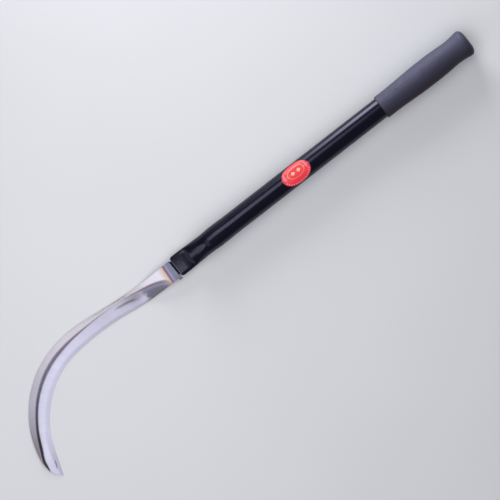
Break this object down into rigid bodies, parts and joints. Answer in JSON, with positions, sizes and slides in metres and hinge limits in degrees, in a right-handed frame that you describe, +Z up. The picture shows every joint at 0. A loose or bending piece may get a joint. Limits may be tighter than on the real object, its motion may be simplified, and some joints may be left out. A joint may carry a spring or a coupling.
{
  "type": "long handled sickle",
  "caption": "Long-handled sickle: a curved, ridged steel blade on a black steel tube with a rubber grip, for cutting grass, weeds and stems.",
  "frame": {"origin": "middle of the whole tool's footprint, on the surface that it lies on", "axes": "+X along the handle towards the grip's butt, +Z up out of the ridged face of the blade, and the blade sweeps from -X round to -Y"},
  "size_m": [0.8512, 0.1574, 0.0412],
  "materials": {
    "blade_steel": "ground bright along the web and the spine, dark forging scale at the heel and in the flank, temper colours near the tube",
    "tube_paint": "glossy black paint, dull where the press marked it",
    "grip_rubber": "matt, finely pebbled dark grey rubber",
    "label_film": "printed red film with a plain gold ornament",
    "weld_steel": "grey as-welded steel"
  },
  "bodies": {
    "root": {"blade": "blade_steel", "handle_tube": "tube_paint", "grip": "grip_rubber", "oval_label": "label_film", "weld_tack": "weld_steel", "weld_bead_under": "weld_steel"}
  },
  "joints": []
}
